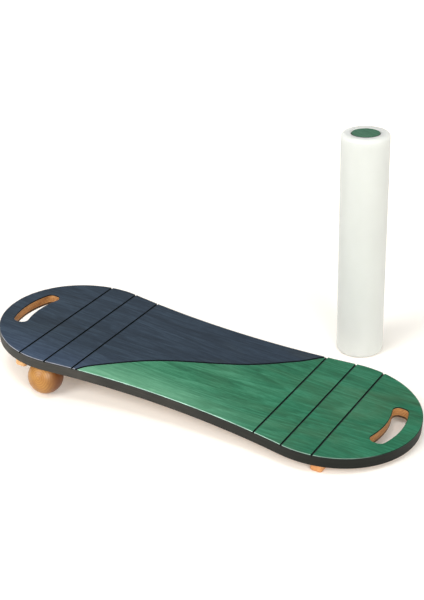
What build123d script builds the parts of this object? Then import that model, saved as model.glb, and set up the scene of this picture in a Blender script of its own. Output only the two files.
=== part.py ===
"""Balance board set: a long waisted deck on two stop rails, two loose wooden balls and a roller.

The deck lies tilted: its left end stands on the balls, which sit in shallow seats in the underside,
and its right end on the right-hand stop rail. The roller stands upright behind the right end.
Origin: middle of the set's footprint, on the floor. +X runs along the deck towards its lower end,
+Y across it towards the roller, +Z up. Millimetres.
"""

import os
from math import cos, radians, sin

from build123d import *

os.makedirs("parts", exist_ok=True)

# Deck outline: two round ends joined by two long waist arcs, all tangent
DECK_LENGTH = 823.0
END_RADIUS = 153.0
WAIST_HALF_WIDTH = 132.5

# Deck layers, from the top down
DECK_THICKNESS = 20.0
FACE_THICKNESS = 2.0
BACKING_THICKNESS = 1.2
EDGE_BAND = 1.5
TOP_CHAMFER = 0.8
SLOT_CHAMFER = 0.7
BOTTOM_ROUND = 0.8

# Grooves across the deck, and the line that curves between the two colours
GROOVE_CENTRES = (181.0, 235.5, 290.0)
GROOVE_WIDTH = 3.6
GROOVE_DEPTH = 3.0
CURVE_LINE_WIDTH = 4.4
NEAR_CURVE_POINTS = ((-168.5, -134.0), (-157.5, -118.0), (-139.0, -99.0), (-96.0, -58.5), (-48.0, -25.0))
FAR_CURVE_POINTS = ((48.0, 25.0), (96.0, 57.5), (143.0, 100.0), (167.0, 128.0))
CURVE_NEAR_DIRECTION = (0.4, 0.92)
CURVE_FAR_DIRECTION = (0.62, 0.78)
CURVE_RUN_OUT = 25.0

# Hand slots
SLOT_OUTER = 384.5
SLOT_INNER = 356.0
SLOT_HALF_LENGTH = 60.5
SLOT_ARCH_RADIUS = 160.0
SLOT_CORNER = 11.5

# Stop rails and their countersunk screws
RAIL_CENTRE = 296.0
RAIL_WIDTH = 22.0
RAIL_DEPTH = 14.0
RAIL_LENGTH = 287.0
RAIL_CORNER = 6.0
RAIL_ROUND = 2.0
SCREW_SPACING = 105.0
SCREW_COUNT = 3
SCREW_HEAD_RADIUS = 3.8
SCREW_SHANK_RADIUS = 2.0
SCREW_LENGTH = 24.0
SCREW_TIP = 3.0
SCREW_CLEARANCE = 0.05
RECESS_LENGTH = 3.6
RECESS_WIDTH = 0.8
RECESS_DEPTH = 1.2

# Balls and their seats
BALL_RADIUS = 32.0
BALL_ALONG = -250.0
BALL_ACROSS = 131.0
SEAT_CLEARANCE = 0.3

# Roller
ROLLER_RADIUS = 43.5
ROLLER_HEIGHT = 430.0
ROLLER_BORE = 27.0
ROLLER_END_ROUND = 7.0
ROLLER_MOUTH_CHAMFER = 0.6
CORE_RADIUS = 26.9
DISC_RADIUS = 26.6
DISC_THICKNESS = 8.0
DISC_CHAMFER = 1.6
DISC_INSET = 0.4
ROLLER_ALONG = 186.5
ROLLER_ACROSS = 277.0

# Where the deck lies: the right rail's rounded outer edge touches the floor
TILT = 4.45
slope_sin = sin(radians(TILT))
slope_cos = cos(radians(TILT))
round_along = RAIL_CENTRE + RAIL_WIDTH / 2 - RAIL_ROUND
round_below = DECK_THICKNESS + RAIL_DEPTH - RAIL_ROUND
top_height = round_along * slope_sin + round_below * slope_cos + RAIL_ROUND

# The origin is the middle of the footprint of the whole set
deck_x = DECK_THICKNESS * slope_sin / 2
deck_y = (BALL_ACROSS + BALL_RADIUS - ROLLER_ACROSS - ROLLER_RADIUS) / 2

deck_plane = Plane(
    origin=(deck_x, deck_y, top_height),
    x_dir=(slope_cos, 0, -slope_sin),
    z_dir=(slope_sin, 0, slope_cos),
)
core_top = deck_plane.offset(-FACE_THICKNESS)
core_bottom = deck_plane.offset(BACKING_THICKNESS - DECK_THICKNESS)
deck_bottom = deck_plane.offset(-DECK_THICKNESS)
rail_plane = Plane(origin=deck_bottom.origin, x_dir=deck_plane.x_dir, z_dir=-deck_plane.z_dir)
up_the_deck = Axis(deck_plane.origin, deck_plane.z_dir)


def write(part, name):
    """Label a finished piece and write its file."""
    part.label = name
    export_step(part, f"parts/{name}.step")


# Flat outlines that several pieces share

end_x = DECK_LENGTH / 2 - END_RADIUS
waist_radius = (end_x**2 + WAIST_HALF_WIDTH**2 - END_RADIUS**2) / (2 * (END_RADIUS - WAIST_HALF_WIDTH))
waist_share = waist_radius / (waist_radius + END_RADIUS)
tangent_x = end_x * waist_share
tangent_y = (WAIST_HALF_WIDTH + waist_radius) * (1 - waist_share)

with BuildSketch() as outline:
    with BuildLine():
        ThreePointArc((-tangent_x, tangent_y), (0, WAIST_HALF_WIDTH), (tangent_x, tangent_y))
        ThreePointArc((tangent_x, tangent_y), (DECK_LENGTH / 2, 0), (tangent_x, -tangent_y))
        ThreePointArc((tangent_x, -tangent_y), (0, -WAIST_HALF_WIDTH), (-tangent_x, -tangent_y))
        ThreePointArc((-tangent_x, -tangent_y), (-DECK_LENGTH / 2, 0), (-tangent_x, tangent_y))
    make_face()

with BuildSketch() as inner_outline:
    add(outline.sketch)
    offset(amount=-EDGE_BAND)

arch_sag = SLOT_ARCH_RADIUS - (SLOT_ARCH_RADIUS**2 - SLOT_HALF_LENGTH**2) ** 0.5

with BuildSketch() as slots:
    with BuildLine():
        outer_low = (SLOT_OUTER - arch_sag, -SLOT_HALF_LENGTH)
        outer_high = (SLOT_OUTER - arch_sag, SLOT_HALF_LENGTH)
        inner_low = (SLOT_INNER - arch_sag, -SLOT_HALF_LENGTH)
        inner_high = (SLOT_INNER - arch_sag, SLOT_HALF_LENGTH)
        ThreePointArc(outer_low, (SLOT_OUTER, 0), outer_high)
        Line(outer_high, inner_high)
        ThreePointArc(inner_high, (SLOT_INNER, 0), inner_low)
        Line(inner_low, outer_low)
    make_face()
    fillet(slots.vertices(), radius=SLOT_CORNER)
    mirror(about=Plane.YZ)

with BuildSketch() as grooves:
    for groove_centre in GROOVE_CENTRES:
        with Locations((-groove_centre, 0), (groove_centre, 0)):
            Rectangle(GROOVE_WIDTH, 2.2 * END_RADIUS)

# The colour line: an S from the near edge, through the deck's middle, to the far edge
curve_points = [Vector(point) for point in (*NEAR_CURVE_POINTS, (0, 0), *FAR_CURVE_POINTS)]
near_direction = Vector(CURVE_NEAR_DIRECTION).normalized()
far_direction = Vector(CURVE_FAR_DIRECTION).normalized()
line_start = curve_points[0] - near_direction * CURVE_RUN_OUT
line_end = curve_points[-1] + far_direction * CURVE_RUN_OUT

with BuildLine() as colour_line:
    Line(line_start, curve_points[0])
    Spline(curve_points, tangents=(near_direction, far_direction))
    Line(curve_points[-1], line_end)

with BuildSketch() as green_side:
    with BuildLine():
        add(colour_line.line)
        Polyline(
            line_end,
            (DECK_LENGTH, line_end.Y),
            (DECK_LENGTH, -DECK_LENGTH),
            (line_start.X, -DECK_LENGTH),
            line_start,
        )
    make_face()

with BuildSketch() as blue_side:
    Rectangle(3 * DECK_LENGTH, 3 * DECK_LENGTH)
    add(green_side.sketch, mode=Mode.SUBTRACT)

with BuildSketch() as colour_gap:
    with BuildLine():
        add(colour_line.line)
    trace(line_width=CURVE_LINE_WIDTH)


def face_panel(low, high, other_side=None):
    """One stained panel of the face between two grooves, with its outer and slot edges bevelled."""
    with BuildPart() as panel:
        with BuildSketch(core_top):
            add(outline.sketch)
            with Locations(((low + high) / 2, 0)):
                Rectangle(high - low, 3 * END_RADIUS, mode=Mode.INTERSECT)
            add(slots.sketch, mode=Mode.SUBTRACT)
            if other_side is not None:
                add(other_side.sketch, mode=Mode.SUBTRACT)
                add(colour_gap.sketch, mode=Mode.SUBTRACT)
        extrude(amount=FACE_THICKNESS)
        rim = panel.faces().sort_by(up_the_deck)[-1].outer_wire().edges().filter_by(GeomType.CIRCLE)
        chamfer(rim, length=TOP_CHAMFER)
        for slot_edge in panel.faces().sort_by(up_the_deck)[-1].inner_wires():
            chamfer(slot_edge.edges(), length=SLOT_CHAMFER)
    return panel.part


# Face: eight stained panels, each ending at the grooves and, in the middle, at the colour line

inner_groove, middle_groove, outer_groove = GROOVE_CENTRES
half_groove = GROOVE_WIDTH / 2
end_span = (outer_groove + half_groove, DECK_LENGTH)
outer_span = (middle_groove + half_groove, outer_groove - half_groove)
inner_span = (inner_groove + half_groove, middle_groove - half_groove)
middle_edge = inner_groove - half_groove

for place, (low, high) in {"end": end_span, "outer_strip": outer_span, "inner_strip": inner_span}.items():
    write(face_panel(-high, -low), f"blue_{place}_panel")
    write(face_panel(low, high), f"green_{place}_panel")

write(face_panel(-middle_edge, middle_edge, green_side), "blue_middle_panel")
write(face_panel(-middle_edge, middle_edge, blue_side), "green_middle_panel")


# Board under the face: plywood core, backing veneer and the band round the edge

seat_centres = [
    Location((deck_x + BALL_ALONG, deck_y + side * BALL_ACROSS, BALL_RADIUS)) for side in (-1, 1)
]
screw_across = [SCREW_SPACING * (index - (SCREW_COUNT - 1) / 2) for index in range(SCREW_COUNT)]
screw_places = {
    side: [Location((side * RAIL_CENTRE, across)) for across in screw_across] for side in (-1, 1)
}
all_screw_places = screw_places[-1] + screw_places[1]

with BuildPart() as deck_core:
    with BuildSketch(core_bottom):
        add(inner_outline.sketch)
        add(slots.sketch, mode=Mode.SUBTRACT)
    extrude(amount=DECK_THICKNESS - FACE_THICKNESS - BACKING_THICKNESS)
    with BuildSketch(core_top):
        add(grooves.sketch)
    extrude(amount=FACE_THICKNESS - GROOVE_DEPTH, mode=Mode.SUBTRACT)
    with BuildSketch(core_bottom):
        with Locations(all_screw_places):
            Circle(SCREW_SHANK_RADIUS + SCREW_CLEARANCE)
    extrude(amount=SCREW_LENGTH - RAIL_DEPTH, mode=Mode.SUBTRACT)
    with Locations(seat_centres):
        Sphere(BALL_RADIUS + SEAT_CLEARANCE, mode=Mode.SUBTRACT)
write(deck_core.part, "deck_core")

with BuildPart() as backing_veneer:
    with BuildSketch(deck_bottom):
        add(inner_outline.sketch)
        add(slots.sketch, mode=Mode.SUBTRACT)
        with Locations(all_screw_places):
            Circle(SCREW_SHANK_RADIUS + SCREW_CLEARANCE, mode=Mode.SUBTRACT)
    extrude(amount=BACKING_THICKNESS)
    with Locations(seat_centres):
        Sphere(BALL_RADIUS + SEAT_CLEARANCE, mode=Mode.SUBTRACT)
write(backing_veneer.part, "backing_veneer")

with BuildPart() as edge_band:
    with BuildSketch(deck_bottom):
        add(outline.sketch)
    extrude(amount=DECK_THICKNESS - FACE_THICKNESS)
    fillet(edge_band.faces().sort_by(up_the_deck)[0].edges(), radius=BOTTOM_ROUND)
    with BuildSketch(deck_bottom):
        add(inner_outline.sketch)
    extrude(amount=DECK_THICKNESS, mode=Mode.SUBTRACT)
    with BuildSketch(core_top):
        add(grooves.sketch)
    extrude(amount=FACE_THICKNESS - GROOVE_DEPTH, mode=Mode.SUBTRACT)
write(edge_band.part, "edge_band")


# Stop rails under both ends, and the screws that hold them


def stop_rail(side):
    """A rail across the underside: rounded corners and edges, holes for its countersunk screws."""
    with BuildPart() as rail:
        with BuildSketch(rail_plane):
            with Locations((side * RAIL_CENTRE, 0)):
                RectangleRounded(RAIL_WIDTH, RAIL_LENGTH, RAIL_CORNER)
        extrude(amount=RAIL_DEPTH)
        fillet(rail.faces().sort_by(up_the_deck)[0].edges(), radius=RAIL_ROUND)
        with BuildSketch(rail_plane):
            with Locations(screw_places[side]):
                Circle(SCREW_SHANK_RADIUS + SCREW_CLEARANCE)
        extrude(amount=RAIL_DEPTH, mode=Mode.SUBTRACT)
        head_depth = SCREW_HEAD_RADIUS - SCREW_SHANK_RADIUS
        with BuildSketch(rail_plane.offset(RAIL_DEPTH)):
            with Locations(screw_places[side]):
                Circle(SCREW_HEAD_RADIUS + SCREW_CLEARANCE)
        extrude(amount=-head_depth, taper=45, mode=Mode.SUBTRACT)
    return rail.part


def rail_screws(side):
    """The rail's screws, head down: each one a countersunk head, a shank, a tip and a cross recess."""
    head_depth = SCREW_HEAD_RADIUS - SCREW_SHANK_RADIUS
    with BuildPart() as screws:
        with BuildSketch(rail_plane.offset(RAIL_DEPTH)):
            with Locations(screw_places[side]):
                Circle(SCREW_HEAD_RADIUS)
        extrude(amount=-head_depth, taper=45)
        with BuildSketch(rail_plane.offset(RAIL_DEPTH)):
            with Locations(screw_places[side]):
                Circle(SCREW_SHANK_RADIUS)
        extrude(amount=SCREW_TIP - SCREW_LENGTH)
        with BuildSketch(rail_plane.offset(RAIL_DEPTH - SCREW_LENGTH + SCREW_TIP)):
            with Locations(screw_places[side]):
                Circle(SCREW_SHANK_RADIUS)
        extrude(amount=-SCREW_TIP, taper=30)
        with BuildSketch(rail_plane.offset(RAIL_DEPTH)):
            with Locations(screw_places[side]):
                Rectangle(RECESS_LENGTH, RECESS_WIDTH)
                Rectangle(RECESS_WIDTH, RECESS_LENGTH)
        extrude(amount=-RECESS_DEPTH, mode=Mode.SUBTRACT)
    return screws.part


for side, name in ((-1, "left"), (1, "right")):
    write(stop_rail(side), f"{name}_stop_rail")
    write(rail_screws(side), f"{name}_rail_screws")


# Balls, each one loose in its seat

for place, name in zip(seat_centres, ("front_ball", "rear_ball")):
    with BuildPart() as ball:
        with Locations(place):
            Sphere(BALL_RADIUS)
    write(ball.part, name)


# Roller: a thick soft sleeve on a wooden core with a stained disc on each end

roller_base = Plane((deck_x + ROLLER_ALONG, deck_y + ROLLER_ACROSS, 0))

with BuildPart() as roller_sleeve:
    with BuildSketch(roller_base):
        Circle(ROLLER_RADIUS)
        Circle(ROLLER_BORE, mode=Mode.SUBTRACT)
    extrude(amount=ROLLER_HEIGHT)
    end_edges = roller_sleeve.edges().filter_by(GeomType.CIRCLE)
    fillet(end_edges.filter_by(lambda edge: edge.radius > ROLLER_BORE + 1), radius=ROLLER_END_ROUND)
    mouths = roller_sleeve.edges().filter_by(GeomType.CIRCLE)
    chamfer(mouths.filter_by(lambda edge: edge.radius < ROLLER_BORE + 1), length=ROLLER_MOUTH_CHAMFER)
write(roller_sleeve.part, "roller_sleeve")

with BuildPart() as roller_core:
    with BuildSketch(roller_base.offset(DISC_INSET + DISC_THICKNESS)):
        Circle(CORE_RADIUS)
    extrude(amount=ROLLER_HEIGHT - 2 * (DISC_INSET + DISC_THICKNESS))
write(roller_core.part, "roller_core")

disc_levels = {"lower": DISC_INSET, "upper": ROLLER_HEIGHT - DISC_INSET - DISC_THICKNESS}
for name, level in disc_levels.items():
    with BuildPart() as end_disc:
        with BuildSketch(roller_base.offset(level)):
            Circle(DISC_RADIUS)
        extrude(amount=DISC_THICKNESS)
        chamfer(end_disc.edges().filter_by(GeomType.CIRCLE), length=DISC_CHAMFER)
    write(end_disc.part, f"{name}_end_disc")
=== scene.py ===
"""Looks of the balance board set: stained wood deck, turned balls and a frosted roller, in a white studio."""

from math import cos, radians, sin

import bpy
from mathutils import Matrix, Vector


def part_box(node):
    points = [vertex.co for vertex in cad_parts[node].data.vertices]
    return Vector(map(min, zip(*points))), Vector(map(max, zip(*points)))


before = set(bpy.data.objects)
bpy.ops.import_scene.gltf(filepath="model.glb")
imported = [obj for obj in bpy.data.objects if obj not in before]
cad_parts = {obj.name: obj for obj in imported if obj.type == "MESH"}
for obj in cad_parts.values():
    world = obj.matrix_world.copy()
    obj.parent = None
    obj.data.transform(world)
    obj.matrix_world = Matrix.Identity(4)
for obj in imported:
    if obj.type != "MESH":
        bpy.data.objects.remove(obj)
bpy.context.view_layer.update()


def centre_of(node):
    low, high = (Vector(corner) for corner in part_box(node))
    return (low + high) / 2


# ---------------------------------------------------------------- where things are, in metres
TILT = radians(4.45)                      # the deck's slope, left end high
LEVEL_TURN = (0, -TILT, 0)                # lays the deck level: X along it, Z along its normal
DECK_NORMAL = (sin(TILT), 0.0, cos(TILT))
CORE_THICKNESS = 0.0168
BACKING_THICKNESS = 0.0012

deck_centre = centre_of("deck_core")
core_level = deck_centre.dot(Vector(DECK_NORMAL))
underside_level = core_level - CORE_THICKNESS / 2 - BACKING_THICKNESS


# ---------------------------------------------------------------- node helpers
class Nodes:
    """A material's node tree, with one short call for each kind of node."""

    def __init__(self, name):
        self.material = bpy.data.materials.new(name)
        self.material.use_nodes = True
        self.tree = self.material.node_tree
        self.tree.nodes.clear()
        self.shader = self.tree.nodes.new("ShaderNodeBsdfPrincipled")
        output = self.tree.nodes.new("ShaderNodeOutputMaterial")
        self.join(self.shader.outputs["BSDF"], output.inputs["Surface"])

    def join(self, value, socket):
        """Links an output, or sets a plain value."""
        if isinstance(value, bpy.types.NodeSocket):
            self.tree.links.new(value, socket)
        else:
            socket.default_value = value

    def add(self, kind, settings=None, **inputs):
        node = self.tree.nodes.new("ShaderNode" + kind)
        for key, value in (settings or {}).items():
            setattr(node, key, value)
        for key, value in inputs.items():
            self.join(value, node.inputs[key.replace("_", " ")])
        return node

    def stretch(self, vector, x, y, z):
        return self.add("Mapping", Vector=vector, Scale=(x, y, z)).outputs["Vector"]

    def place(self, rotation=(0, 0, 0), location=(0, 0, 0), scale=(1, 1, 1)):
        """Object coordinates, turned, then moved, then stretched."""
        coordinates = self.add("TexCoord").outputs["Object"]
        moved = self.add("Mapping", Vector=coordinates, Rotation=rotation, Location=location)
        return self.stretch(moved.outputs["Vector"], *scale)

    def split(self, vector):
        """The vector's outputs "X", "Y" and "Z"."""
        return self.add("SeparateXYZ", Vector=vector).outputs

    def noise(self, vector, scale=1.0, detail=4.0, roughness=0.55, distortion=0.0):
        node = self.add("TexNoise", Vector=vector, Scale=scale, Detail=detail, Roughness=roughness,
                        Distortion=distortion)
        return node.outputs["Fac"]

    def math(self, operation, a, b=0.0):
        node = self.add("Math", {"operation": operation})
        self.join(a, node.inputs[0])
        self.join(b, node.inputs[1])
        return node.outputs["Value"]

    def weighted(self, *pairs):
        """The sum of the values, each times its share."""
        first, *others = [self.math("MULTIPLY", value, share) for value, share in pairs]
        total = first
        for part in others:
            total = self.math("ADD", total, part)
        return total

    def swing(self, value, middle, strength):
        """How far the value is from its middle, times the strength."""
        return self.math("MULTIPLY", self.math("SUBTRACT", value, middle), strength)

    def reach(self, a, b):
        """How far the point (a, b) is from the origin."""
        return self.math("SQRT", self.math("ADD", self.math("POWER", a, 2.0), self.math("POWER", b, 2.0)))

    def span(self, value, low, high, to_low=0.0, to_high=1.0):
        """Maps low..high to to_low..to_high, held inside that range."""
        node = self.add("MapRange", {"clamp": True}, Value=value)
        for socket, number in zip(("From Min", "From Max", "To Min", "To Max"), (low, high, to_low, to_high)):
            node.inputs[socket].default_value = number
        return node.outputs["Result"]

    def mix(self, factor, a, b, blend="MIX"):
        node = self.add("Mix", {"data_type": "RGBA", "blend_type": blend})
        colour_a, colour_b, mixed_colour = node.inputs[6], node.inputs[7], node.outputs[2]
        self.join(factor, node.inputs["Factor"])
        self.join(colour(a), colour_a)
        self.join(colour(b), colour_b)
        return mixed_colour

    def ramp(self, value, *stops):
        node = self.add("ValToRGB", Fac=value)
        elements = node.color_ramp.elements
        while len(elements) < len(stops):
            elements.new(0.5)
        for element, (position, tone) in zip(elements, stops):
            element.position = position
            element.color = colour(tone)
        return node.outputs["Color"]

    def along(self, vector, direction):
        """How far a vector reaches in a direction."""
        node = self.add("VectorMath", {"operation": "DOT_PRODUCT"})
        self.join(vector, node.inputs[0])
        self.join(direction, node.inputs[1])
        return node.outputs["Value"]

    def facing(self, direction):
        """How far the surface faces a direction of the part's own axes: 1 straight at it, 0 side on."""
        return self.along(self.add("TexCoord").outputs["Normal"], direction)

    def bump(self, height, strength, distance):
        node = self.add("Bump", Height=height, Strength=strength, Distance=distance)
        self.join(node.outputs["Normal"], self.shader.inputs["Normal"])

    def set(self, **inputs):
        """Links or sets the shader's own sockets."""
        for key, value in inputs.items():
            self.join(value, self.shader.inputs[key.replace("_", " ")])


def colour(value):
    """A colour given in 0..255 as seen, made linear, or a socket left as it is."""
    if isinstance(value, bpy.types.NodeSocket):
        return value
    linear = []
    for channel in value:
        share = channel / 255
        linear.append(share / 12.92 if share <= 0.04045 else ((share + 0.055) / 1.055) ** 2.4)
    return (*linear, 1.0)


# ---------------------------------------------------------------- wood
def grain(nodes, vector, seed):
    """Long grain along the vector's X: broad figure, streaks and fine fibres, each from 0 to 1."""
    shifted = nodes.add("VectorMath", {"operation": "ADD"})
    nodes.join(vector, shifted.inputs[0])
    nodes.join((seed, seed * 1.7, seed * 2.3), shifted.inputs[1])
    base = shifted.outputs["Vector"]

    figure = nodes.noise(nodes.stretch(base, 3.2, 17, 17), detail=5.0, roughness=0.6, distortion=1.1)
    streaks = nodes.noise(nodes.stretch(base, 24, 190, 190), detail=7.0, roughness=0.74, distortion=0.5)
    fibres = nodes.noise(nodes.stretch(base, 90, 620, 620), roughness=0.7)
    return figure, streaks, fibres


def sawn_figure(nodes, vector, seed):
    """Growth rings cut nearly flat: long arches that open along the grain, from 0 to 1."""
    long_scale = (1.3, 13.0, 13.0)
    arch_length, ring_count, waviness = 0.8, 7.0, 1.6
    moved = nodes.add("Mapping", Vector=vector, Location=(seed, 0.07, 0.0), Scale=long_scale)
    bend = nodes.noise(moved.outputs["Vector"], scale=1.4, detail=2.0)
    place = nodes.split(moved.outputs["Vector"])
    across = nodes.math("ADD", place["Y"], nodes.math("MULTIPLY", bend, waviness))
    along = nodes.math("PINGPONG", place["X"], arch_length)
    ring = nodes.math("FRACT", nodes.math("MULTIPLY", nodes.reach(across, along), ring_count))
    return nodes.math("MULTIPLY", nodes.span(ring, 0.0, 0.75), nodes.span(ring, 1.0, 0.86))


def stain(nodes, figure, tone, place, stain_tones, lit_tones, far_shade):
    """The stain's colour, with a painted sheen by the near edge, less of it towards the right end, and
    painted shade deepening the right end all over.
    """
    stops = (0.36, 0.49, 0.62)
    deep = nodes.ramp(tone, *zip(stops, stain_tones))
    sheen_tint = nodes.ramp(tone, *zip(stops, lit_tones))
    # painted sheen: lighter tones by the near edge, less towards the right end
    near = nodes.span(nodes.math("ADD", place["Y"], nodes.swing(figure, 0.5, 0.05)), -0.055, -0.150)
    left = nodes.span(place["X"], 0.20, 0.02, 0.22, 1.0)
    tint = nodes.mix(nodes.math("MULTIPLY", nodes.math("POWER", near, 1.3), left), deep, sheen_tint)
    # painted shade: the right end is multiplied darker
    tint = nodes.mix(nodes.span(place["X"], -0.06, 0.24), tint, far_shade, "MULTIPLY")

    patches = nodes.noise(nodes.place(scale=(5, 14, 14)), distortion=0.8)
    right = nodes.span(place["X"], -0.1, 0.35, 0.15, 1.0)
    brown = nodes.math("MULTIPLY", nodes.span(patches, 0.50, 0.72, 0.0, 0.18), right)
    return nodes.mix(brown, tint, (92, 92, 62))


def bevel_highlight_share(nodes, place):
    """How far a bevel gets the painted highlight: in blotches, by the near edge, and less towards the right
    end.
    """
    near = nodes.span(place["Y"], -0.085, -0.125)
    less_right = nodes.span(place["X"], 0.34, 0.10, 0.30, 1.0)
    none_at_left_tip = nodes.span(place["X"], -0.40, -0.34)
    blotch = nodes.noise(nodes.place(scale=(38, 38, 38)))
    highlight_share = nodes.math("MULTIPLY", near, less_right)
    highlight_share = nodes.math("MULTIPLY", highlight_share, nodes.span(blotch, 0.3, 0.62, 0.55, 1.0))
    return nodes.math("MULTIPLY", highlight_share, none_at_left_tip)


def stained_face(name, stain_tones, lit_tones, far_shade, bevel_highlight_tint, dark):
    """Stained veneer, with its grain along the deck. Bevels have a painted highlight by the near edge and are
    dark elsewhere, as painted shade on the far rim and dark paint at the slot rims; the sides are dark paint.
    """
    nodes = Nodes(name)
    level = nodes.place(rotation=LEVEL_TURN)
    place = nodes.split(nodes.place(location=(-deck_centre.x, -deck_centre.y, 0)))
    figure, streaks, fibres = grain(nodes, level, 3.1)
    rings = sawn_figure(nodes, level, 0.35)
    tone = nodes.weighted((streaks, 0.42), (figure, 0.38), (fibres, 0.20))
    tone = nodes.math("SUBTRACT", tone, nodes.swing(rings, 0.35, 0.085))

    tint = stain(nodes, figure, tone, place, stain_tones, lit_tones, far_shade)
    up = nodes.facing(DECK_NORMAL)
    bevel = nodes.span(up, 0.97, 0.82)
    side = nodes.span(up, 0.5, 0.3)
    # painted highlight on the near bevels; the other bevels are dark: painted shade along the far rim, dark
    # paint at the slot rims
    tint = nodes.mix(bevel, tint, nodes.mix(bevel_highlight_share(nodes, place), dark, bevel_highlight_tint))
    tint = nodes.mix(side, tint, dark)
    nodes.set(Base_Color=tint, Roughness=nodes.span(tone, 0.35, 0.65, 0.52, 0.40), Specular_IOR_Level=0.22)
    nodes.bump(nodes.weighted((fibres, 0.6), (streaks, 0.4)), 0.35, 0.0004)
    return nodes.material


def natural_wood(name, dark, middle, light, turn, seed):
    """Oiled wood with its grain along X after the turn."""
    nodes = Nodes(name)
    figure, streaks, fibres = grain(nodes, nodes.place(rotation=turn), seed)
    tone = nodes.weighted((streaks, 0.55), (figure, 0.45))
    tone = nodes.math("ADD", tone, nodes.swing(fibres, 0.5, 0.2))
    nodes.set(Base_Color=nodes.ramp(tone, (0.30, dark), (0.5, middle), (0.72, light)),
              Roughness=nodes.span(fibres, 0.3, 0.7, 0.58, 0.44))
    nodes.bump(nodes.math("ADD", fibres, streaks), 0.3, 0.0004)
    return nodes.material


def plywood_core():
    """Plies in the slot walls, which end in a dark rim, and black lacquer in the grooves and colour line."""
    nodes = Nodes("plywood core")
    ply = 0.0014
    rim_fades, rim_full = underside_level + 0.0042, underside_level + 0.0030
    slots_start, grooves_end = 0.318, 0.314          # distances from the deck's centre
    level = nodes.place(rotation=LEVEL_TURN)
    place = nodes.split(level)

    wobble = nodes.noise(nodes.place(scale=(30, 30, 30)), detail=2.0)
    ply_pairs = nodes.math("DIVIDE", place["Z"], 2 * ply)
    band = nodes.math("PINGPONG", nodes.math("ADD", ply_pairs, nodes.math("MULTIPLY", wobble, 0.18)), 0.5)
    end_grain = nodes.noise(nodes.place(scale=(900, 900, 900)), detail=2.0)
    long_grain = nodes.noise(nodes.stretch(level, 60, 60, 700), detail=3.0)
    cross_ply = nodes.ramp(end_grain, (0.3, (122, 74, 36)), (0.7, (156, 104, 54)))
    long_ply = nodes.ramp(long_grain, (0.3, (186, 132, 74)), (0.7, (220, 168, 106)))
    wood = nodes.mix(nodes.span(band, 0.21, 0.29), cross_ply, long_ply)

    mottling = nodes.noise(nodes.place(scale=(26, 26, 60)), roughness=0.65)
    wood = nodes.mix(nodes.span(mottling, 0.46, 0.66, 0.0, 0.6), wood, (112, 64, 28))
    wood = nodes.mix(nodes.span(place["Z"], rim_fades, rim_full), wood, (24, 22, 19))
    faces_up = nodes.span(nodes.facing(DECK_NORMAL), 0.6, 0.8)
    from_centre = nodes.math("ABSOLUTE", nodes.math("SUBTRACT", place["X"], deck_centre.x))
    in_groove = nodes.math("MAXIMUM", faces_up, nodes.span(from_centre, slots_start, grooves_end))
    nodes.set(Base_Color=nodes.mix(in_groove, wood, (20, 33, 31)), Roughness=0.62)
    nodes.bump(nodes.math("ADD", end_grain, band), 0.4, 0.0003)
    return nodes.material


def edge_lacquer():
    """Matt near-black lacquer, with the wood's lines faintly under it, and painted shade darkening it towards
    the right end.
    """
    nodes = Nodes("edge lacquer")
    level = nodes.place(rotation=LEVEL_TURN)
    lines = nodes.noise(nodes.stretch(level, 14, 14, 420))
    blotch = nodes.noise(nodes.place(scale=(14, 14, 14)), detail=5.0)
    tone = nodes.weighted((lines, 0.5), (blotch, 0.5))
    tint = nodes.ramp(tone, (0.32, (44, 44, 41)), (0.52, (56, 55, 51)), (0.70, (70, 67, 62)))
    # painted shade: darker towards the right end, where less light falls
    tint = nodes.mix(nodes.span(nodes.split(level)["X"], -0.30, 0.36), tint, (72, 92, 73), "MULTIPLY")
    nodes.set(Base_Color=tint, Roughness=nodes.span(tone, 0.3, 0.7, 0.66, 0.52), Specular_IOR_Level=0.25)
    nodes.bump(tone, 0.3, 0.0005)
    return nodes.material


def turned_wood(name, centre, axis, shaded_side, seed):
    """A turned ball: growth rings about the tree's axis, painted shade darkening one side, and an oil sheen.
    """
    nodes = Nodes(name)
    ring_spacing = 0.0037
    turn = Vector(axis).rotation_difference(Vector((1, 0, 0))).to_euler()
    from_centre = nodes.place(location=tuple(-c for c in centre))
    turned = nodes.add("Mapping", Vector=from_centre, Rotation=tuple(turn)).outputs["Vector"]
    waves = nodes.noise(nodes.stretch(turned, 9, 26, 26), detail=2.0)
    broad = nodes.noise(nodes.stretch(turned, 22, 60, 60), detail=3.0)
    fibres = nodes.noise(nodes.stretch(turned, 70, 1400, 1400), detail=3.0)

    place = nodes.split(turned)
    y = nodes.math("ADD", place["Y"], 0.001 * seed)
    z = nodes.math("MULTIPLY", place["Z"], 0.86)
    from_pith = nodes.math("ADD", nodes.reach(y, z), nodes.swing(waves, 0.5, 0.005))
    ring = nodes.math("FRACT", nodes.math("DIVIDE", from_pith, ring_spacing))
    late_wood = nodes.math("MULTIPLY", nodes.span(ring, 0.25, 0.80), nodes.span(ring, 1.0, 0.90))

    early_tint = nodes.ramp(broad, (0.3, (152, 101, 40)), (0.7, (179, 129, 58)))
    # painted shade: darker brown towards the side turned from the light
    shade_depth = nodes.math("ADD", nodes.along(from_centre, shaded_side), nodes.math("MULTIPLY", waves, 0.010))
    early_tint = nodes.mix(nodes.span(shade_depth, 0.002, 0.024, 0.0, 0.9), early_tint, (88, 43, 13))
    strength = nodes.span(broad, 0.3, 0.7, 0.26, 0.50)
    tint = nodes.mix(nodes.math("MULTIPLY", late_wood, strength), early_tint, (112, 64, 24))
    tint = nodes.mix(nodes.span(fibres, 0.35, 0.2, 0.0, 0.5), tint, (140, 84, 36))
    nodes.set(Base_Color=tint, Roughness=nodes.span(fibres, 0.3, 0.7, 0.46, 0.34))
    nodes.bump(nodes.math("ADD", nodes.math("MULTIPLY", late_wood, 0.4), fibres), 0.2, 0.0003)
    return nodes.material


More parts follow.
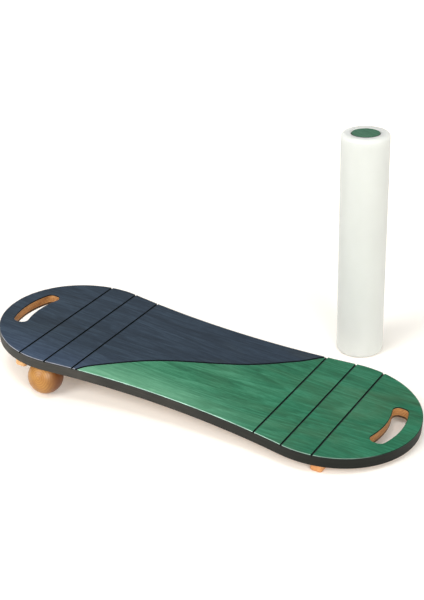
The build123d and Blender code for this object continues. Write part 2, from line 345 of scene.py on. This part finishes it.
def stained_disc():
    """The roller's end discs: the deck's green, with a dark bevel."""
    nodes = Nodes("green disc")
    _, streaks, fibres = grain(nodes, nodes.place(rotation=(0, 0, 0.5)), 8.4)
    tone = nodes.weighted((streaks, 0.6), (fibres, 0.4))
    tint = nodes.ramp(tone, (0.3, (45, 85, 63)), (0.5, (56, 99, 76)), (0.7, (69, 115, 89)))
    flat = nodes.math("ABSOLUTE", nodes.facing((0.0, 0.0, 1.0)))
    tint = nodes.mix(nodes.span(flat, 0.96, 0.85), tint, (20, 44, 30))
    nodes.set(Base_Color=tint, Roughness=nodes.span(tone, 0.35, 0.65, 0.58, 0.46), Specular_IOR_Level=0.2)
    nodes.bump(fibres, 0.3, 0.0003)
    return nodes.material


# ---------------------------------------------------------------- other materials
def frosted_sleeve():
    """Milky elastomer: light goes a little way in, and the skin is faintly uneven."""
    nodes = Nodes("frosted sleeve")
    cloud = nodes.noise(nodes.place(scale=(7, 7, 3.5)), detail=3.0)
    frost = nodes.noise(nodes.place(scale=(900, 900, 900)), detail=3.0)
    scuffs = nodes.noise(nodes.place(scale=(60, 60, 14)), detail=5.0, roughness=0.7)
    nodes.set(Base_Color=nodes.ramp(cloud, (0.3, (197, 199, 194)), (0.7, (206, 208, 203))),
              Roughness=nodes.span(scuffs, 0.3, 0.75, 0.55, 0.75), Specular_IOR_Level=0.2,
              Subsurface_Weight=0.9, Subsurface_Radius=(1.0, 1.0, 0.95), Subsurface_Scale=0.04)
    nodes.bump(nodes.math("ADD", frost, scuffs), 0.12, 0.0003)
    return nodes.material


def zinc_screw():
    """Zinc-plated steel with fine turning marks."""
    nodes = Nodes("zinc screw")
    marks = nodes.noise(nodes.place(scale=(2500, 2500, 600)), detail=3.0)
    nodes.set(Base_Color=nodes.ramp(marks, (0.3, (150, 148, 140)), (0.7, (196, 195, 188))),
              Roughness=nodes.span(marks, 0.3, 0.7, 0.42, 0.25), Metallic=1.0)
    nodes.bump(marks, 0.2, 0.0001)
    return nodes.material


# ---------------------------------------------------------------- materials on the nodes
def coat(material, *names):
    """Gives nodes of the frame a material."""
    for name in names:
        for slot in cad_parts[name].material_slots:
            slot.material = material


def coat_deck():
    blue = stained_face(
        "blue stain",
        stain_tones=((27, 38, 49), (36, 49, 62), (49, 64, 78)),
        lit_tones=((46, 60, 79), (57, 72, 92), (73, 89, 109)),
        far_shade=(238, 242, 248), bevel_highlight_tint=(150, 152, 160), dark=(10, 15, 20))
    green = stained_face(
        "green stain",
        stain_tones=((31, 90, 63), (51, 117, 85), (78, 144, 111)),
        lit_tones=((90, 150, 116), (108, 165, 132), (134, 187, 153)),
        far_shade=(160, 216, 212), bevel_highlight_tint=(184, 222, 204), dark=(8, 28, 20))
    for panel in ("end_panel", "outer_strip_panel", "inner_strip_panel", "middle_panel"):
        coat(blue, "blue_" + panel)
        coat(green, "green_" + panel)

    across = (0, 0, radians(90))
    backing = natural_wood("backing wood", (120, 94, 64), (148, 118, 82), (172, 142, 104), LEVEL_TURN, 5.2)
    rail = natural_wood("rail wood", (188, 138, 88), (212, 166, 112), (230, 190, 138), across, 1.4)
    # painted shade: the right rail is the left rail's wood, darker and redder as if in shade
    shaded = natural_wood("redder rail wood", (160, 104, 56), (186, 126, 74), (206, 150, 96), across, 4.1)
    coat(plywood_core(), "deck_core")
    coat(edge_lacquer(), "edge_band")
    coat(backing, "backing_veneer")
    coat(rail, "left_stop_rail")
    coat(shaded, "right_stop_rail")
    coat(zinc_screw(), "left_rail_screws", "right_rail_screws")


def coat_balls_and_roller():
    front = turned_wood("front ball wood", centre_of("front_ball"), axis=(0.20, -0.92, 0.33),
                        shaded_side=(0.80, 0.58, -0.1), seed=1.0)
    rear = turned_wood("rear ball wood", centre_of("rear_ball"), axis=(0.6, 0.7, 0.35),
                       shaded_side=(-0.2, 0.9, 0.4), seed=2.0)
    upright = (0, radians(90), 0)
    core = natural_wood("core wood", (176, 126, 76), (200, 150, 96), (216, 172, 120), upright, 7.7)
    coat(front, "front_ball")
    coat(rear, "rear_ball")
    coat(frosted_sleeve(), "roller_sleeve")
    coat(core, "roller_core")
    coat(stained_disc(), "upper_end_disc", "lower_end_disc")


# ---------------------------------------------------------------- studio
def floor():
    """A matt white floor with a faint glow of painted light, which fills its shadows and grows behind the
    board, where the lights fall off.
    """
    half = 12.0
    corners = [(-half, -half, 0), (half, -half, 0), (half, half, 0), (-half, half, 0)]
    mesh = bpy.data.meshes.new("floor")
    mesh.from_pydata(corners, [], [(0, 1, 2, 3)])
    piece = bpy.data.objects.new("floor", mesh)
    bpy.context.collection.objects.link(piece)

    nodes = Nodes("studio floor")
    backwards = (-0.5, 0.86, 0.0)
    glow = nodes.span(nodes.along(nodes.place(), backwards), 0.1, 3.0, 0.11, 0.45)
    nodes.set(Base_Color=(0.93, 0.895, 0.835, 1.0), Roughness=0.9, Specular_IOR_Level=0.0,
              Emission_Color=(1.0, 0.94, 0.86, 1.0), Emission_Strength=glow)
    mesh.materials.append(nodes.material)


def soft_light(name, place, target, size, power):
    lamp = bpy.data.lights.new(name, "AREA")
    lamp.shape = "DISK"
    lamp.size = size
    lamp.energy = power
    piece = bpy.data.objects.new(name, lamp)
    bpy.context.collection.objects.link(piece)
    piece.location = place
    piece.rotation_euler = (Vector(target) - Vector(place)).to_track_quat("-Z", "Y").to_euler()


def studio():
    floor()
    world = bpy.data.worlds.new("studio")
    world.use_nodes = True
    background = world.node_tree.nodes["Background"]
    background.inputs["Color"].default_value = (1.0, 1.0, 1.0, 1.0)
    background.inputs["Strength"].default_value = 0.47
    bpy.context.scene.world = world
    soft_light("left key", (-2.2, -5.6, 3.9), target=(0, 0, 0.1), size=4.0, power=270)
    soft_light("right key", (4.8, -4.3, 3.2), target=(0, 0, 0.1), size=4.0, power=330)
    soft_light("overhead", (-0.1, -1.4, 6.0), target=(0, 0, 0), size=2.0, power=85)
    soft_light("side wash", (-4.6, 0.2, 3.4), target=(-1.9, 3.2, 0), size=2.5, power=45)
    bpy.context.scene.view_settings.view_transform = "Standard"


def camera():
    """Off the near right of the deck, looking down along it to the left."""
    lens = bpy.data.cameras.new("camera")
    lens.lens = 75.35
    lens.sensor_width = 36.0
    lens.clip_end = 60.0
    piece = bpy.data.objects.new("camera", lens)
    bpy.context.collection.objects.link(piece)
    below_deck = Vector((deck_centre.x, deck_centre.y, 0))
    stand_off = Vector((1.0134, -1.6882, 1.1421))
    heading, below_level, roll = radians(30.32), radians(26.02), radians(-1.59)
    turn = (Matrix.Rotation(heading, 4, "Z") @ Matrix.Rotation(radians(90) - below_level, 4, "X")
            @ Matrix.Rotation(roll, 4, "Z"))
    piece.matrix_world = Matrix.Translation(below_deck + stand_off) @ turn
    bpy.context.scene.camera = piece


coat_deck()
coat_balls_and_roller()
studio()
camera()
